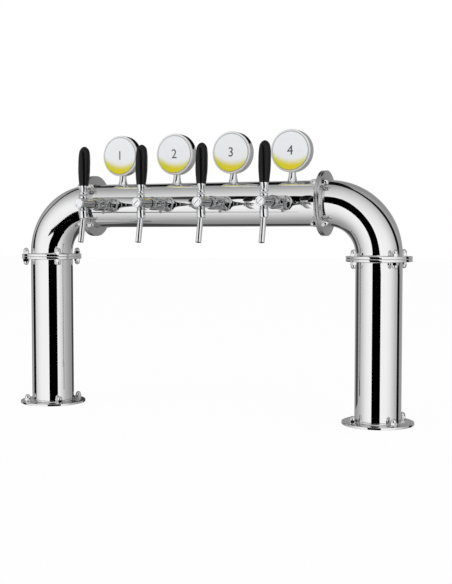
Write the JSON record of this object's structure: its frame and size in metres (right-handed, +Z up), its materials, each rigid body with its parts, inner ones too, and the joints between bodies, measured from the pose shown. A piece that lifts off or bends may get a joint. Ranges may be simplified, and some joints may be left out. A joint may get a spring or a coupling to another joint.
{
  "type": "beer tower dispenser",
  "caption": "Bridge-shaped draught beer tower of polished steel tube with flanged joints, lever taps with flow levers along the bar and round lit medallions above them.",
  "frame": {"origin": "on the counter plane midway between the axes of the two columns", "axes": "+X along the bar to the right seen from the tap side, +Y away from the taps to the rear, +Z up"},
  "size_m": [0.9759, 0.292, 0.6459],
  "materials": {
    "polished_steel": "polished",
    "chrome_plate": "polished",
    "fastener_steel": "polished",
    "spindle_steel": "satin",
    "bare_brass": "satin",
    "black_handle": "gloss",
    "clear_acrylic": "gloss",
    "printed_disc": "gloss",
    "circuit_board": "matte",
    "white_acetal": "matte",
    "black_rubber": "matte"
  },
  "bodies": {
    "tower": {"left_column": "polished_steel", "right_column": "polished_steel", "left_elbow": "polished_steel", "right_elbow": "polished_steel", "crossbar": "polished_steel", "base_flanges": "polished_steel", "joint_flanges": "polished_steel", "joint_gaskets": "black_rubber", "joint_studs": "fastener_steel", "joint_acorn_nuts": "fastener_steel", "base_washers": "fastener_steel", "base_acorn_nuts": "fastener_steel", "medallion_1_housing": "chrome_plate", "medallion_2_housing": "chrome_plate", "medallion_3_housing": "chrome_plate", "medallion_4_housing": "chrome_plate", "medallion_lenses": "clear_acrylic", "medallion_print_discs": "printed_disc", "medallion_led_boards": "circuit_board", "medallion_stems": "chrome_plate", "medallion_stem_nuts": "fastener_steel", "tap_1_body": "chrome_plate", "tap_2_body": "chrome_plate", "tap_3_body": "chrome_plate", "tap_4_body": "chrome_plate", "tap_spouts": "chrome_plate", "tap_shanks": "bare_brass", "coupling_nuts": "chrome_plate", "coupling_washers": "black_rubber", "bonnet_nuts": "chrome_plate", "front_caps": "chrome_plate", "shank_rosettes": "chrome_plate", "shank_saddle_washers": "fastener_steel", "shank_back_nuts": "bare_brass", "valve_seats": "bare_brass"},
    "tap_1_lever_arm": {"tap_1_lever": "chrome_plate", "tap_1_ferrule": "chrome_plate", "tap_1_handle": "black_handle"},
    "tap_1_valve": {"tap_1_valve_shaft": "spindle_steel"},
    "tap_1_flow_control": {"tap_1_flow_lever": "chrome_plate"},
    "tap_1_flow_cone": {"tap_1_compensator": "white_acetal"},
    "tap_2_lever_arm": {"tap_2_lever": "chrome_plate", "tap_2_ferrule": "chrome_plate", "tap_2_handle": "black_handle"},
    "tap_2_valve": {"tap_2_valve_shaft": "spindle_steel"},
    "tap_2_flow_control": {"tap_2_flow_lever": "chrome_plate"},
    "tap_2_flow_cone": {"tap_2_compensator": "white_acetal"},
    "tap_3_lever_arm": {"tap_3_lever": "chrome_plate", "tap_3_ferrule": "chrome_plate", "tap_3_handle": "black_handle"},
    "tap_3_valve": {"tap_3_valve_shaft": "spindle_steel"},
    "tap_3_flow_control": {"tap_3_flow_lever": "chrome_plate"},
    "tap_3_flow_cone": {"tap_3_compensator": "white_acetal"},
    "tap_4_lever_arm": {"tap_4_lever": "chrome_plate", "tap_4_ferrule": "chrome_plate", "tap_4_handle": "black_handle"},
    "tap_4_valve": {"tap_4_valve_shaft": "spindle_steel"},
    "tap_4_flow_control": {"tap_4_flow_lever": "chrome_plate"},
    "tap_4_flow_cone": {"tap_4_compensator": "white_acetal"}
  },
  "joints": [
    {"name": "tap_1_handle_tilt", "type": "hinge", "parent": "tower", "child": "tap_1_lever_arm", "pos_m": [-0.2115, -0.189, 0.494], "axis": [1, 0, 0], "range_deg": [-8, 22]},
    {"name": "tap_1_valve_slide", "type": "slide", "parent": "tower", "child": "tap_1_valve", "axis": [0, 1, 0], "range_m": [-0.0018, 0.0049]},
    {"name": "tap_1_flow_turn", "type": "hinge", "parent": "tower", "child": "tap_1_flow_control", "pos_m": [-0.2115, -0.128, 0.4815], "axis": [1, 0, 0], "range_deg": [-45, 45]},
    {"name": "tap_1_cone_slide", "type": "slide", "parent": "tower", "child": "tap_1_flow_cone", "axis": [0, -1, 0], "range_m": [-0.0023, 0.0023]},
    {"name": "tap_2_handle_tilt", "type": "hinge", "parent": "tower", "child": "tap_2_lever_arm", "pos_m": [-0.0705, -0.189, 0.494], "axis": [1, 0, 0], "range_deg": [-8, 22]},
    {"name": "tap_2_valve_slide", "type": "slide", "parent": "tower", "child": "tap_2_valve", "axis": [0, 1, 0], "range_m": [-0.0018, 0.0049]},
    {"name": "tap_2_flow_turn", "type": "hinge", "parent": "tower", "child": "tap_2_flow_control", "pos_m": [-0.0705, -0.128, 0.4815], "axis": [1, 0, 0], "range_deg": [-45, 45]},
    {"name": "tap_2_cone_slide", "type": "slide", "parent": "tower", "child": "tap_2_flow_cone", "axis": [0, -1, 0], "range_m": [-0.0023, 0.0023]},
    {"name": "tap_3_handle_tilt", "type": "hinge", "parent": "tower", "child": "tap_3_lever_arm", "pos_m": [0.0705, -0.189, 0.494], "axis": [1, 0, 0], "range_deg": [-8, 22]},
    {"name": "tap_3_valve_slide", "type": "slide", "parent": "tower", "child": "tap_3_valve", "axis": [0, 1, 0], "range_m": [-0.0018, 0.0049]},
    {"name": "tap_3_flow_turn", "type": "hinge", "parent": "tower", "child": "tap_3_flow_control", "pos_m": [0.0705, -0.128, 0.4815], "axis": [1, 0, 0], "range_deg": [-45, 45]},
    {"name": "tap_3_cone_slide", "type": "slide", "parent": "tower", "child": "tap_3_flow_cone", "axis": [0, -1, 0], "range_m": [-0.0023, 0.0023]},
    {"name": "tap_4_handle_tilt", "type": "hinge", "parent": "tower", "child": "tap_4_lever_arm", "pos_m": [0.2115, -0.189, 0.494], "axis": [1, 0, 0], "range_deg": [-8, 22]},
    {"name": "tap_4_valve_slide", "type": "slide", "parent": "tower", "child": "tap_4_valve", "axis": [0, 1, 0], "range_m": [-0.0018, 0.0049]},
    {"name": "tap_4_flow_turn", "type": "hinge", "parent": "tower", "child": "tap_4_flow_control", "pos_m": [0.2115, -0.128, 0.4815], "axis": [1, 0, 0], "range_deg": [-45, 45]},
    {"name": "tap_4_cone_slide", "type": "slide", "parent": "tower", "child": "tap_4_flow_cone", "axis": [0, -1, 0], "range_m": [-0.0023, 0.0023]}
  ],
  "couplings": [
    {"joint": "tap_1_valve_slide", "follows": "tap_1_handle_tilt", "m_per_rad": 0.0125},
    {"joint": "tap_1_cone_slide", "follows": "tap_1_flow_turn", "m_per_rad": 0.0029},
    {"joint": "tap_2_valve_slide", "follows": "tap_2_handle_tilt", "m_per_rad": 0.0125},
    {"joint": "tap_2_cone_slide", "follows": "tap_2_flow_turn", "m_per_rad": 0.0029},
    {"joint": "tap_3_valve_slide", "follows": "tap_3_handle_tilt", "m_per_rad": 0.0125},
    {"joint": "tap_3_cone_slide", "follows": "tap_3_flow_turn", "m_per_rad": 0.0029},
    {"joint": "tap_4_valve_slide", "follows": "tap_4_handle_tilt", "m_per_rad": 0.0125},
    {"joint": "tap_4_cone_slide", "follows": "tap_4_flow_turn", "m_per_rad": 0.0029}
  ]
}
